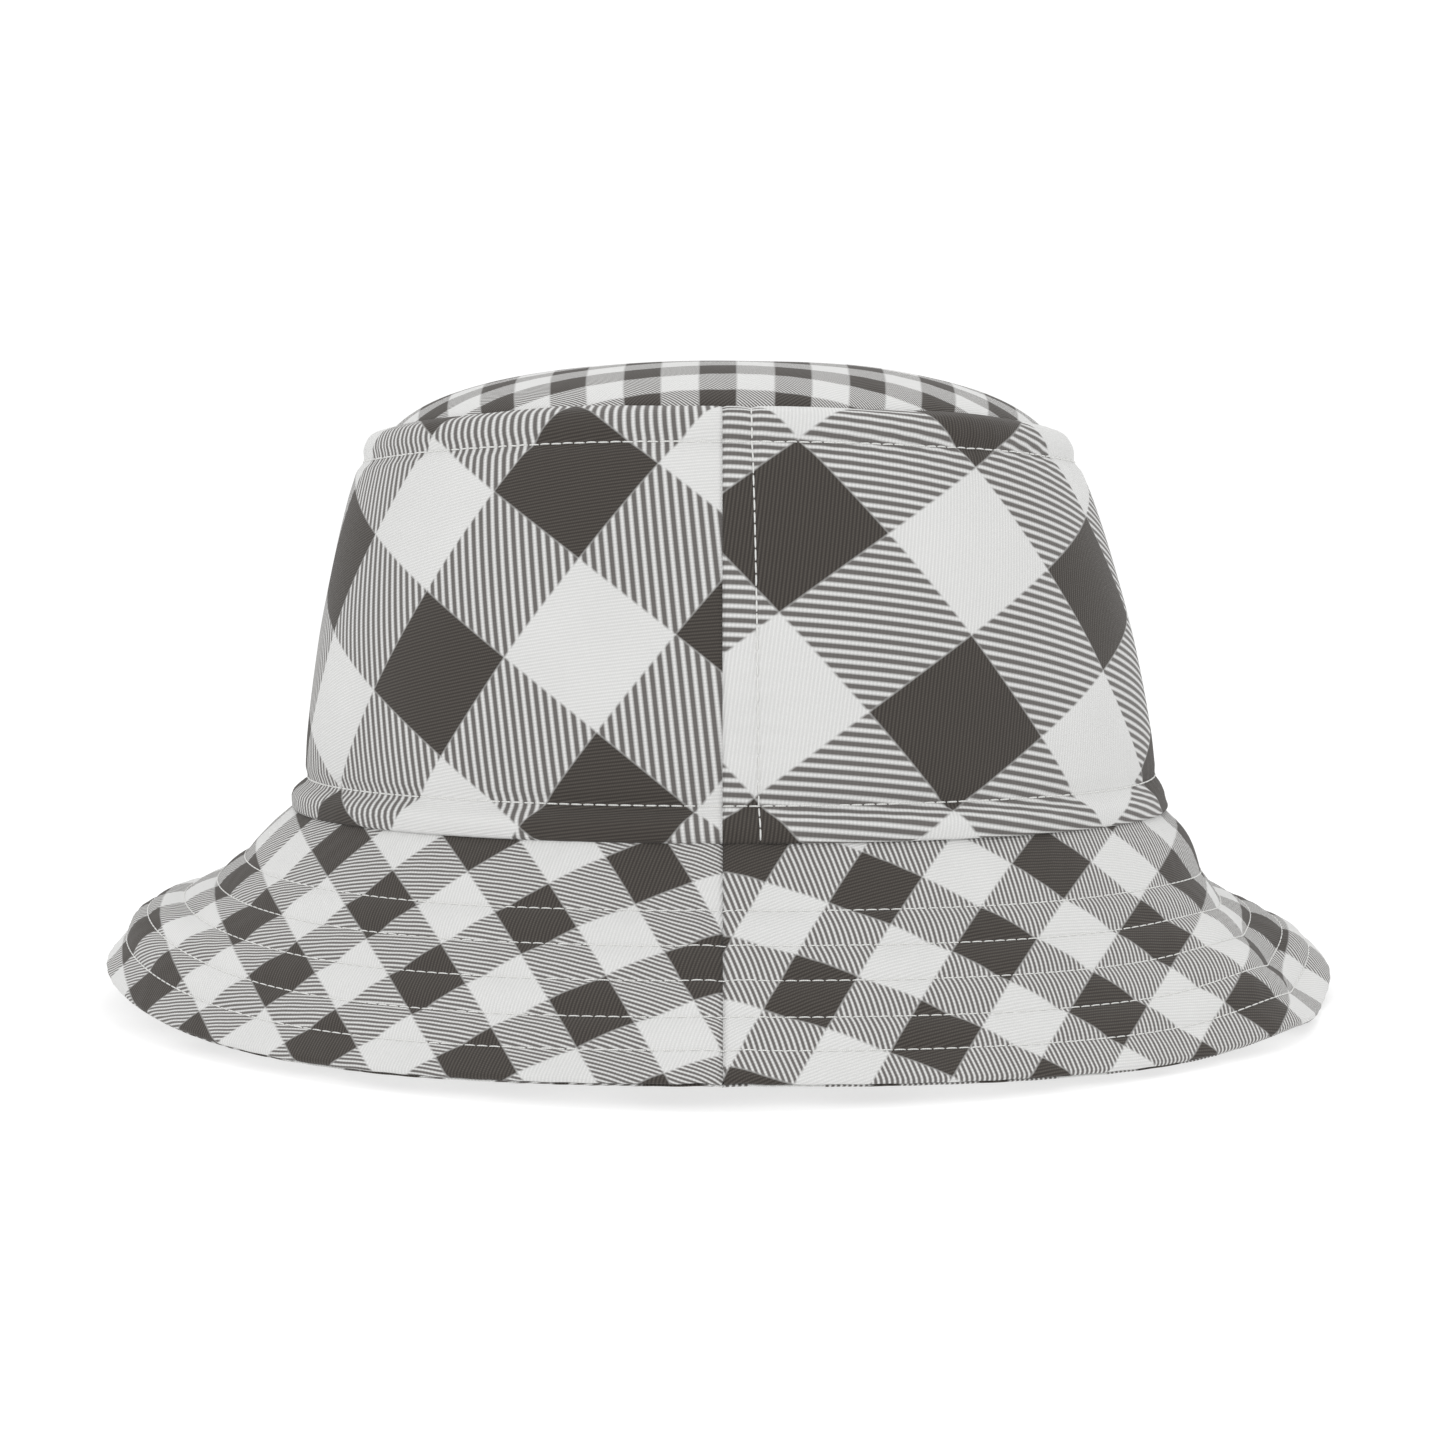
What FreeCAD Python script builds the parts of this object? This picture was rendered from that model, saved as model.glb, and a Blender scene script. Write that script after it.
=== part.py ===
import FreeCAD, Part
import math
import os

# Bucket hat, sewn from cloth.
# Frame, in millimetres: the front of the hat is at -X and the back at +X, the side seams are at
# +Y and -Y, and +Z is up. The origin is under the middle of the hat, level with the lowest
# point of the brim edge, so the hat stands on the XY plane.

# Driving dimensions of the crown
WIDTH_RATIO = 0.878        # width over length of every level of the crown
SEAM_HEIGHT = 43.6         # crown and brim meet here
SEAM_HALF = 100.0          # half length of the crown at the brim seam
SEAM_SHIFT = 2.6           # the seam oval sits this far behind the origin
RIM_HALF = 75.4            # half length of the tip seam
RIM_HEIGHT = 127.6
RIM_SHIFT = -0.2           # the tip seam sits this far in front of it
TIP_RISE = 14.0            # the puffed tip stands this far above its seam
TIP_FULLNESS = (3.4, 0.75)  # powers that set how square the puffed tip is

# Half length and height above the brim seam, from the seam up to the tip seam
CROWN_PROFILE = [
    (SEAM_HALF, 0.0),
    (99.5, 3.0),
    (97.0, 6.6),
    (95.8, 16.0),
    (93.9, 29.0),
    (91.7, 42.0),
    (88.3, 56.0),
    (84.6, 68.0),
    (81.1, 77.0),
    (80.0, 80.4),
    (78.4, 82.8),
    (RIM_HALF, RIM_HEIGHT - SEAM_HEIGHT),
]
BASE_STITCH_AT = 2         # profile points that carry the two rows round the crown
TIP_STITCH_AT = 8

# Driving dimensions of the brim
BRIM_WIDTH = 54.5          # along the slope, seam to edge
BRIM_STEP_IN = 0.8         # the crown's folded edge stands proud of the brim by this much
BRIM_DROP_IN = 0.3         # the brim starts this far below the seam
SLOPE_CURL = -6.0          # change of slope from seam to edge, degrees
# Slope of the brim in eight even directions, from the back round by the left side, the front and
# the right side, in degrees below level
BRIM_SLOPES = [47, 43, 44, 42, 39, 48, 46, 50]
STITCH_ROWS = [0.291, 0.438, 0.583, 0.733, 0.868]   # share of the brim width

# Cloth layers, as depths under the outer face
CROWN_CLOTH = (0.0, 1.0)
LINING_CLOTH = (1.3, 1.8)
SWEATBAND_TAPE = (2.1, 3.1)
LABEL_TAPE = (3.4, 3.9)
BRIM_TOP_CLOTH = (0.0, 0.8)
BRIM_STIFFENER = (0.8, 1.4)
BRIM_UNDER_CLOTH = (1.4, 2.2)

SWEATBAND_TOP = 28.0       # above the brim seam
LINING_START = 3.0
LINING_TIP_DROP = 2.0      # the lining's tip hangs this far below the cloth tip
LABEL_WIDTH = 16.0         # degrees round the crown
LABEL_BOTTOM = 24.0        # above the brim seam
LABEL_TOP = 56.0
THREAD_RADIUS = 0.35
SIDE_STITCH_OFFSET = 4.2   # degrees from the side seam
SIDE_STITCH_WIDTH = 0.3

FRONT_HALF = (90.0, 180.0)     # start and sweep round Z, degrees
BACK_HALF = (-90.0, 180.0)
WHOLE = (0.0, 360.0)


# Crown, tip and lining are turned about Z as round bodies, then squeezed to the oval plan and
# leaned so that the tip sits a little in front of the brim seam.

def squeeze(solid):
    lean = (RIM_SHIFT - SEAM_SHIFT) / (RIM_HEIGHT - SEAM_HEIGHT)
    oval = FreeCAD.Matrix()
    oval.A13 = lean
    oval.A14 = SEAM_SHIFT - lean * SEAM_HEIGHT
    oval.A22 = WIDTH_RATIO
    return solid.transformGeometry(oval)


def profile_curve(points, **tangents):
    curve = Part.BSplineCurve()
    curve.interpolate([FreeCAD.Vector(r, 0, z) for r, z in points], **tangents)
    return curve


def crown_curve():
    return profile_curve([(r, SEAM_HEIGHT + h) for r, h in CROWN_PROFILE])


def wall_points(depth, low, high, count=14):
    """Points of the crown wall at a depth under its outer face, between two heights."""
    curve = crown_curve()
    first, last = curve.FirstParameter, curve.LastParameter
    points = []
    for i in range(81):
        u = first + (last - first) * i / 80
        spot = curve.value(u)
        along = curve.tangent(u)[0]
        points.append((spot.x - depth * along.z, spot.z + depth * along.x))
    inside = [p for p in points if low - 0.01 <= p[1] - SEAM_HEIGHT <= high + 0.01]
    step = (len(inside) - 1) / (count - 1)
    return [inside[round(i * step)] for i in range(count)]


def turn(outer, inner, half):
    """Solid between two profile curves, turned about Z."""
    start, sweep = half
    out_edge = profile_curve(outer).toShape()
    in_edge = profile_curve(inner).toShape()
    low = Part.makeLine(out_edge.firstVertex().Point, in_edge.firstVertex().Point)
    high = Part.makeLine(out_edge.lastVertex().Point, in_edge.lastVertex().Point)
    face = Part.Face(Part.Wire(Part.__sortEdges__([out_edge, high, in_edge, low])))
    face.rotate(FreeCAD.Vector(), FreeCAD.Vector(0, 0, 1), start)
    return squeeze(face.revolve(FreeCAD.Vector(), FreeCAD.Vector(0, 0, 1), sweep))


def wall(layer, half, low=0.0, high=RIM_HEIGHT - SEAM_HEIGHT):
    return turn(wall_points(layer[0], low, high), wall_points(layer[1], low, high), half)


def dome_points(drop, thickness):
    """Puffed oval tip: flat in the middle, falling steeply to its seam."""
    square, fall = TIP_FULLNESS
    points = []
    for share in (0.0, 0.2, 0.4, 0.58, 0.73, 0.85, 0.93, 0.98, 1.0):
        rise = TIP_RISE * (1 - share ** square) ** fall
        points.append((share * (RIM_HALF - thickness - 0.3), RIM_HEIGHT + 0.3 + rise - drop))
    return points


def dome(drop, thickness, inset=0.0):
    outer = [(r * (1 - inset), z) for r, z in dome_points(drop, 0.0)]
    inner = [(r * (1 - inset), z) for r, z in dome_points(drop + thickness, thickness)]
    level = FreeCAD.Vector(1, 0, 0)
    steep = FreeCAD.Vector(0.2, 0, -1)
    out_edge = profile_curve(outer, InitialTangent=level, FinalTangent=steep).toShape()
    in_edge = profile_curve(inner, InitialTangent=level, FinalTangent=steep).toShape()
    axis = Part.makeLine(FreeCAD.Vector(0, 0, outer[0][1]), FreeCAD.Vector(0, 0, inner[0][1]))
    rim = Part.makeLine(out_edge.lastVertex().Point, in_edge.lastVertex().Point)
    face = Part.Face(Part.Wire(Part.__sortEdges__([out_edge, rim, in_edge, axis])))
    return squeeze(face.revolve(FreeCAD.Vector(), FreeCAD.Vector(0, 0, 1), 360))


def thread_ring(radius, height):
    corners = []
    for i in range(7):
        a = math.radians(60 * i)
        corner = FreeCAD.Vector(math.cos(a), 0, math.sin(a)) * THREAD_RADIUS
        corners.append(corner + FreeCAD.Vector(radius, 0, height))
    section = Part.Face(Part.makePolygon(corners))
    return squeeze(section.revolve(FreeCAD.Vector(), FreeCAD.Vector(0, 0, 1), 360))


# The brim is a band of constant width that leaves the seam oval at a slope that varies slowly
# round the hat. Its layers are found by going down from the outer face along its normal.

def slope_at(angle):
    """Slope of the brim in one direction, passing smoothly through the eight given ones."""
    count = len(BRIM_SLOPES)
    place = angle / (2 * math.pi) * count
    index = math.floor(place)
    t = place - index
    a, b, c, d = [BRIM_SLOPES[(index + i) % count] for i in (-1, 0, 1, 2)]
    square = 2 * a - 5 * b + 4 * c - d
    cube = 3 * b - a - 3 * c + d
    return math.radians(b + ((c - a) * t + square * t ** 2 + cube * t ** 3) / 2)


def brim_point(angle, share, depth):
    half_length = SEAM_HALF - BRIM_STEP_IN
    half_width = WIDTH_RATIO * SEAM_HALF - BRIM_STEP_IN
    out = FreeCAD.Vector(math.cos(angle) / half_length, math.sin(angle) / half_width, 0).normalize()
    slope = slope_at(angle)
    curl = math.radians(SLOPE_CURL)
    # position along an arc whose slope runs evenly from slope - curl / 2 to slope + curl / 2
    first = slope - curl / 2
    here = first + curl * share
    radius = BRIM_WIDTH / curl
    run = radius * (math.sin(here) - math.sin(first))
    fall = radius * (math.cos(first) - math.cos(here))
    start = FreeCAD.Vector(SEAM_SHIFT + half_length * math.cos(angle), half_width * math.sin(angle),
                           SEAM_HEIGHT - BRIM_DROP_IN)
    normal = out * math.sin(here) + FreeCAD.Vector(0, 0, math.cos(here))
    return start + out * run - FreeCAD.Vector(0, 0, fall) - normal * depth


def skin(half, shares, depth):
    """Smooth surface at one depth over half of the brim."""
    start, sweep = half
    rows = []
    for share in shares:
        angles = [math.radians(start + sweep * i / 24) for i in range(25)]
        rows.append([brim_point(angle, share, depth) for angle in angles])
    surface = Part.BSplineSurface()
    surface.interpolate(rows)
    return surface


def band(half, layer, low=0.0, high=1.0, steps=4):
    """Closed solid between two skins of the brim."""
    shares = [low + (high - low) * i / steps for i in range(steps + 1)]
    upper, lower = [skin(half, shares, depth) for depth in layer]
    u0, u1, v0, v1 = upper.bounds()
    faces = [upper.toShape(), lower.toShape()]
    for u in (u0, u1):
        faces.append(Part.makeRuledSurface(upper.uIso(u).toShape(), lower.uIso(u).toShape()))
    for v in (v0, v1):
        faces.append(Part.makeRuledSurface(upper.vIso(v).toShape(), lower.vIso(v).toShape()))
    shell = Part.makeCompound(faces)
    shell.sewShape(0.001)
    solid = Part.makeSolid(shell.Shells[0])
    solid.fix(0.001, 0.001, 0.001)
    if solid.Volume < 0:
        solid.reverse()
    return solid


def stitch_row(share):
    """One row of thread round the brim, as a front and a back length."""
    spread = THREAD_RADIUS / BRIM_WIDTH
    layer = (-THREAD_RADIUS, -0.02)
    return Part.makeCompound([band(half, layer, share - spread, share + spread, 2)
                              for half in (FRONT_HALF, BACK_HALF)])


def crown_nodes():
    top = RIM_HEIGHT - SEAM_HEIGHT
    nodes = {
        "crown_tip": dome(0.0, 0.9),
        "crown_front_panel": wall(CROWN_CLOTH, FRONT_HALF),
        "crown_back_panel": wall(CROWN_CLOTH, BACK_HALF),
        "lining_tip": dome(LINING_TIP_DROP, 0.5, inset=0.03),
        "lining_front_panel": wall(LINING_CLOTH, FRONT_HALF, LINING_START, top - LINING_TIP_DROP),
        "lining_back_panel": wall(LINING_CLOTH, BACK_HALF, LINING_START, top - LINING_TIP_DROP),
        "sweatband": wall(SWEATBAND_TAPE, WHOLE, 0.0, SWEATBAND_TOP),
        "care_label": wall(LABEL_TAPE, (-LABEL_WIDTH / 2, LABEL_WIDTH), LABEL_BOTTOM, LABEL_TOP),
    }
    return nodes


def thread_nodes():
    proud = THREAD_RADIUS + 0.02
    top = RIM_HEIGHT - SEAM_HEIGHT - 1.0
    side_layer = (-THREAD_RADIUS, -0.02)
    nodes = {}
    for name, index in (("crown_base_topstitch", BASE_STITCH_AT), ("tip_topstitch", TIP_STITCH_AT)):
        radius, height = CROWN_PROFILE[index]
        nodes[name] = thread_ring(radius + proud, SEAM_HEIGHT + height)
    right = SIDE_STITCH_OFFSET - 90.0
    left = 90.0 - SIDE_STITCH_OFFSET - SIDE_STITCH_WIDTH
    for name, start in (("side_topstitch_right", right), ("side_topstitch_left", left)):
        nodes[name] = wall(side_layer, (start, SIDE_STITCH_WIDTH), 0.5, top)
    tape_low = wall_points(SWEATBAND_TAPE[1], 0.0, SWEATBAND_TOP)[2]
    nodes["sweatband_stitch"] = thread_ring(tape_low[0] - proud, tape_low[1])
    for number, share in enumerate(STITCH_ROWS, start=1):
        nodes["brim_stitch_row_%d" % number] = stitch_row(share)
    return nodes


def brim_nodes():
    layers = {
        "brim_top": BRIM_TOP_CLOTH,
        "brim_interlining": BRIM_STIFFENER,
        "brim_under": BRIM_UNDER_CLOTH,
    }
    nodes = {}
    for name, layer in layers.items():
        inner_edge = 0.97 if name == "brim_interlining" else 1.0
        nodes[name + "_front"] = band(FRONT_HALF, layer, 0.0, inner_edge)
        nodes[name + "_back"] = band(BACK_HALF, layer, 0.0, inner_edge)
    return nodes


os.makedirs("parts", exist_ok=True)
nodes = {}
nodes.update(crown_nodes())
nodes.update(brim_nodes())
nodes.update(thread_nodes())
box = FreeCAD.BoundBox()
for name, shape in nodes.items():
    shape.exportStep("parts/%s.step" % name)
    box.add(shape.BoundBox)
    print("%-24s valid %s volume %.0f mm3" % (name, shape.isValid(), shape.Volume))
print("hat %.1f x %.1f x %.1f mm" % (box.XLength, box.YLength, box.ZLength))
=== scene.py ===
import math

import bpy
import numpy as np
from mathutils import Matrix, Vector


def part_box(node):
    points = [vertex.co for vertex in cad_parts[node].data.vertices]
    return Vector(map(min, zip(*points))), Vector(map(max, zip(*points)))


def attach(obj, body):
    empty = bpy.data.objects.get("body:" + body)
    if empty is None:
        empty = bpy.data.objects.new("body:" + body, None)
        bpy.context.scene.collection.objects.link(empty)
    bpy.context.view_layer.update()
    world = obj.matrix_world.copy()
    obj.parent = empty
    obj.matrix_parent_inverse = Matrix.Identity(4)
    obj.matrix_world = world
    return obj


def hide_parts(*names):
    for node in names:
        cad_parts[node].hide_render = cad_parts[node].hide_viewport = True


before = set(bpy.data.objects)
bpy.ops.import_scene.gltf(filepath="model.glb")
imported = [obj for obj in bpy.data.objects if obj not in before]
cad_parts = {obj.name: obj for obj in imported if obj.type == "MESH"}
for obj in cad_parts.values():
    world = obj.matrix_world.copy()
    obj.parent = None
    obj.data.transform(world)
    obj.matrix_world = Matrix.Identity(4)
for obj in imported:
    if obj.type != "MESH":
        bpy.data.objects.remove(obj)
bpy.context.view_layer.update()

MM = 0.001
UP = np.array([0, 0, 1.0])

# Shapes are worked out in millimetres, in the frame of the CAD model, and turned into metres when
# a mesh is made. The front of the hat is at -X, its back at +X, and its side seams at +Y and -Y.
# Angles round the hat start at the back and turn by +Y to the front.
FRONT = (math.pi / 2, 3 * math.pi / 2)
BACK = (-math.pi / 2, math.pi / 2)
HALVES = (("front", FRONT), ("back", BACK))
ALL_ROUND = (-math.pi, math.pi)


# ---------------------------------------------------------------- measures of the hat

def box_mm(node):
    low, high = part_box(node)
    return np.array(low) / MM, np.array(high) / MM


front_low, front_high = box_mm("crown_front_panel")
back_high = box_mm("crown_back_panel")[1]
tip_low, tip_high = box_mm("crown_tip")

SEAM_Z = front_low[2]                              # crown meets brim
RIM_Z = front_high[2]                              # crown meets tip
SEAM_HALF = (back_high[0] - front_low[0]) / 2      # half length of the hat at the brim seam
SEAM_X = (back_high[0] + front_low[0]) / 2
RIM_HALF = (tip_high[0] - tip_low[0]) / 2 + 0.3    # half length of the tip seam
RIM_X = (tip_high[0] + tip_low[0]) / 2
TIP_RISE = tip_high[2] - RIM_Z
CROWN_HEIGHT = RIM_Z - SEAM_Z
WIDTH_RATIO = 0.878                                # width over length of every level of the crown
SEAM_PLANE = 0.7                                   # the side seams lie in this plane across the hat
SEAM_SIDE_LIFT = 0.6                               # the brim seam is higher at the sides by this
RIM_SIDE_LIFT = 2.2                                # and the tip seam by this

BASE_ROW_HEIGHT = 6.6                              # stitch rows on the crown, above the brim seam
TIP_ROW_HEIGHT = 77.0

# Half length and height of the crown above the brim seam
CROWN_PROFILE = [
    (SEAM_HALF, 0.0), (99.5, 3.0), (97.0, BASE_ROW_HEIGHT), (95.8, 16.0), (93.9, 29.0), (91.7, 42.0),
    (88.3, 56.0), (84.6, 68.0), (81.1, TIP_ROW_HEIGHT), (80.0, 80.4), (78.4, 82.8),
    (RIM_HALF, CROWN_HEIGHT),
]

# The brim, as in the CAD model: a band of constant width whose slope varies slowly round the hat
BRIM_WIDTH = 54.5
BRIM_STEP_IN = 0.8
BRIM_DROP_IN = 0.3
SLOPE_CURL = math.radians(-6.0)
# Slope in eight even directions from the back, in degrees below level
BRIM_SLOPES = np.array([47.0, 43.0, 44.0, 42.0, 39.0, 48.0, 46.0, 50.0])
BRIM_ROWS = [share * BRIM_WIDTH for share in (0.291, 0.438, 0.583, 0.733, 0.868)]
BRIM_THICKNESS = 1.8
BRIM_TUCK = 1.5                                    # the brim's cloth starts this far inside its seam
EDGE_ROLL = 0.9                                    # radius of the brim's turned edge

# Soft bends where the brim stands higher or lower than its plain slope: angle round the hat and
# distance out, how far each way it reaches (degrees, mm), and its height
BRIM_BENDS = [
    (187, 41, 24, 9.5, 4.6),
    (180, 21, 24, 8, -0.6),
    (-1, 21, 20, 10, -4.4),
    (-14, 44, 9, 17, -4.4),
    (-32, 43, 9, 18, 3.0),
    (4, 48, 17, 11, 3.6),
]

TIP_INSET = 0.6                                    # edge of the tip inside its seam
TIP_TUCK = 1.5                                     # and below it
LINING_TIP_DROP = 4.5                              # the lining's tip hangs below the cloth one
LINING_TIP_INSET = -3.2                            # and reaches out to the lining's side panels
LINING_DEPTH = 1.5                                 # from the plain crown in to the lining
LINING_START = 3.0                                 # lower edge of the lining, up from the brim seam
LINING_PUFF_START = 20.0                           # and where it starts to hang in loose folds
BAND_DEPTH = 2.6                                   # and in to the sweatband and the label
BAND_START = 0.4
BAND_TOP = 28.0
BAND_ROW = 3.0                                     # stitches that hold the sweatband
LABEL_START = 24.0
LABEL_TOP = 56.0
LABEL_BULGE = 34.0                                 # length that the label's bulge is spread over
LABEL_HALF_TURN = 0.125

PRINTED_THICKNESS = 0.5
LINING_THICKNESS = 0.3
STIFFENER_THICKNESS = 0.3
BAND_THICKNESS = 0.8

SIDE_STITCH_OFFSET = 6.5                           # topstitching from the side seam
SIDE_RADIUS = 88.0                                 # turns angles near that row into distances
THREAD = 0.17                                      # radius of the sewing thread
STITCH_PITCH = 2.55
STITCH_GAP = 0.35
ROW_SIDES = np.array([-0.6, 0.0, 0.6])             # a stitch row and its neighbours on the cloth

# Puckers in a full turn, along the rows of stitches
CROWN_PUCKERS = 93
BRIM_PUCKERS = 102
TIP_PUCKERS = 69

# Spacing of mesh points, the radius that it holds at, and how many rows of them each panel has
PANEL_STEP = 1.15
STIFFENER_STEP = 3.0
INNER_STEP = 2.0
CROWN_MESH_RADIUS = 95
BRIM_MESH_RADIUS = 118
INNER_MESH_RADIUS = 90
CROWN_MESH_ROWS = 84
BRIM_MESH_ROWS = 56
STIFFENER_MESH_ROWS = 28
TIP_MESH_ROWS = 150
LINING_TIP_MESH_ROWS = 70
ROLL_ROWS = 6
TAIL_ROWS = 3


# ---------------------------------------------------------------- small shape helpers

def bell(distance, width):
    return np.exp(-(distance / width) ** 2)


def fade(distance, width):
    return np.exp(-np.abs(distance) / width)


def turn_from(phi, direction):
    """Angle from a direction round the hat, at most half a turn either way."""
    return np.angle(np.exp(1j * (phi - direction)))


def ripple(turn, count, phase):
    """Puckers along a line of stitches: count waves in a full turn, whose spacing wanders a little."""
    wander = 1.7 * np.sin(3 * turn + phase) + 0.9 * np.sin(7 * turn + 2.1 * phase)
    return np.sin(count * turn + wander)


def soft(turn, w, phase):
    """Slow, shallow unevenness of cloth round the hat, between about -1 and 1."""
    total = np.sin(5 * turn + 1.3 * np.sin(w / 23.0 + phase) + phase)
    total = total + 0.7 * np.sin(w / 12.0 + 1.1 * np.sin(3 * turn - phase) + 2.0 * phase)
    return (total + 0.5 * np.sin(11 * turn + w / 8.5 + 0.7 * phase)) / 2.2


def line_length(points):
    """Length along a line of points, up to each of them."""
    return np.concatenate([[0], np.cumsum(np.linalg.norm(np.diff(points, axis=0), axis=1))])


def between(a, b, c, d, t):
    """Catmull-Rom curve: a place between b and c, with a before and d after them."""
    square = 2 * a - 5 * b + 4 * c - d
    cube = 3 * b - a - 3 * c + d
    return b + ((c - a) * t + square * t ** 2 + cube * t ** 3) / 2


def smooth_line(points, count):
    """Smooth curve through points, evenly spaced by length: (length, x, y) arrays."""
    p = np.array(points, dtype=float)
    p = np.vstack([2 * p[0] - p[1], p, 2 * p[-1] - p[-2]])
    t = np.linspace(0, 1, 24, endpoint=False)[:, None]
    spans = [between(a, b, c, d, t) for a, b, c, d in zip(p[:-3], p[1:-2], p[2:-1], p[3:])]
    line = np.vstack(spans + [p[-2:-1]])
    length = line_length(line)
    even = np.linspace(0, length[-1], count)
    return even, np.interp(even, length, line[:, 0]), np.interp(even, length, line[:, 1])


def unit(v):
    return v / np.maximum(np.linalg.norm(v, axis=-1, keepdims=True), 1e-12)


def normals(grid, outward):
    """Unit normals of a grid of points, turned to the side that outward points to."""
    rows = np.gradient(grid, axis=0)
    cols = np.gradient(grid, axis=1)
    n = unit(np.cross(rows, cols))
    side = np.sign((n * outward).sum(axis=-1).mean())
    return n * side


PROFILE_V, PROFILE_R, PROFILE_H = smooth_line(CROWN_PROFILE, 400)
CROWN_LENGTH = PROFILE_V[-1]
BASE_ROW = float(np.interp(BASE_ROW_HEIGHT, PROFILE_H, PROFILE_V))
TIP_ROW = float(np.interp(TIP_ROW_HEIGHT, PROFILE_H, PROFILE_V))


# ---------------------------------------------------------------- crown surface

def crown_base(phi, v):
    """Plain oval crown: angle round it and distance up from the brim seam."""
    r = np.interp(v, PROFILE_V, PROFILE_R)
    h = np.interp(v, PROFILE_V, PROFILE_H)
    k = h / CROWN_HEIGHT
    middle = SEAM_X + (RIM_X - SEAM_X) * k
    phi = phi + (middle - SEAM_PLANE) / r * np.sin(phi)
    lift = (SEAM_SIDE_LIFT + (RIM_SIDE_LIFT - SEAM_SIDE_LIFT) * k) * np.sin(phi) ** 2
    return np.stack([middle + r * np.cos(phi),
                     WIDTH_RATIO * r * np.sin(phi),
                     SEAM_Z + h + lift], axis=-1)


def out_from_axis(grid):
    out = grid - np.array([SEAM_X, 0, 0])
    out[..., 2] = 0
    return unit(out)


def from_side_seam(phi, radius):
    """Distance from the nearest side seam, positive towards the back of the hat."""
    return (np.pi / 2 - np.abs((phi + np.pi) % (2 * np.pi) - np.pi)) * radius


def near_back(phi):
    return bell(turn_from(phi, 0.0), 0.6)


def crown_relief(phi, v):
    """How far the cloth stands out from the plain crown."""
    side = from_side_seam(phi, SIDE_RADIUS)
    base_groove = (1.0 - 0.5 * near_back(phi)) * bell(v - BASE_ROW, 1.3)
    tip_groove = 0.9 * bell(v - TIP_ROW, 1.5)
    foot = (0.35 - 1.3 * near_back(phi)) * bell(v - 0.3 * BASE_ROW, 2.6)
    pucker_depth = 0.10 * fade(v - BASE_ROW, 4.0) + 0.12 * fade(v - TIP_ROW, 4.0)
    puckers = pucker_depth * ripple(phi, CROWN_PUCKERS, 0.8)
    side_seam = 0.22 * bell(side, 0.5)
    side_groove = 0.3 * bell(side - SIDE_STITCH_OFFSET, 1.0)
    side_puckers = 0.16 * ripple(v / 16.0, 18, 1.9) * fade(side - SIDE_STITCH_OFFSET, 4.0)
    unevenness = 0.45 * soft(phi, v, 0.4)
    return (unevenness - base_groove - tip_groove + foot + puckers
            - side_seam - side_groove + side_puckers)


def crown_surface(phi, v):
    base = crown_base(phi, v)
    n = normals(base, out_from_axis(base))
    return base + n * crown_relief(phi, v)[..., None]


# ---------------------------------------------------------------- brim surface

def brim_slope(phi):
    """Slope of the brim in one direction, passing smoothly through the eight given ones."""
    count = len(BRIM_SLOPES)
    place = phi / (2 * np.pi) * count
    index = np.floor(place).astype(int)
    a, b, c, d = [BRIM_SLOPES[(index + i) % count] for i in (-1, 0, 1, 2)]
    return np.radians(between(a, b, c, d, place - index))


def brim_base(phi, w):
    """Plain brim: angle round the hat and distance out from the seam."""
    phi = phi + (SEAM_X - SEAM_PLANE) / (SEAM_HALF + 0.7 * w) * np.sin(phi)
    first = brim_slope(phi) - SLOPE_CURL / 2
    here = first + SLOPE_CURL * w / BRIM_WIDTH
    radius = BRIM_WIDTH / SLOPE_CURL
    run = radius * (np.sin(here) - np.sin(first))
    fall = radius * (np.cos(first) - np.cos(here))
    half_length = SEAM_HALF - BRIM_STEP_IN
    half_width = WIDTH_RATIO * SEAM_HALF - BRIM_STEP_IN
    out = unit(np.stack([np.cos(phi) / half_length, np.sin(phi) / half_width], axis=-1))
    lift = SEAM_SIDE_LIFT * np.sin(phi) ** 2
    return np.stack([SEAM_X + half_length * np.cos(phi) + out[..., 0] * run,
                     half_width * np.sin(phi) + out[..., 1] * run,
                     SEAM_Z - BRIM_DROP_IN + lift - fall], axis=-1)


def channels(w):
    """Puffed channels between the stitch rows: 0 at a row, 1 midway, and which channel it is."""
    before_seam, past_edge = -4.0, BRIM_WIDTH + 5.0
    stops = np.array([before_seam] + BRIM_ROWS + [past_edge])
    index = np.clip(np.searchsorted(stops, w) - 1, 0, len(stops) - 2)
    share = (w - stops[index]) / (stops[index + 1] - stops[index])
    return np.sin(np.pi * np.clip(share, 0, 1)) ** 0.8, index


def brim_relief(phi, w):
    """How far the cloth stands out from the plain brim."""
    side = from_side_seam(phi, 90.0 + 0.7 * w)
    puff, channel = channels(w)
    near_front = bell(turn_from(phi, 2.75), 0.3)
    puffs = (0.7 + 0.9 * near_front) * puff - 0.3 - 0.5 * near_front
    foot = 1.2 * near_back(phi) * bell(w, 6.0)
    lean = np.where(channel % 2 == 0, 0.007, -0.007) * w
    puckers = 0.07 * puff * ripple(phi + lean, BRIM_PUCKERS, 1.0 + 1.3 * channel)
    unevenness = 0.15 * soft(phi, w, 1.7)
    side_seam = 0.35 * bell(side, 0.6)
    seam_folds = 0.35 * bell(np.abs(side) - 4.0, 2.6)
    return puffs - foot + puckers + unevenness - side_seam + seam_folds


def brim_bends(phi, w):
    height = 0 * phi
    for angle, out, reach_round, reach_out, rise in BRIM_BENDS:
        turn = np.degrees(turn_from(phi, math.radians(angle)))
        height = height + rise * bell(turn, reach_round) * bell(w - out, reach_out)
    return height


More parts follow.
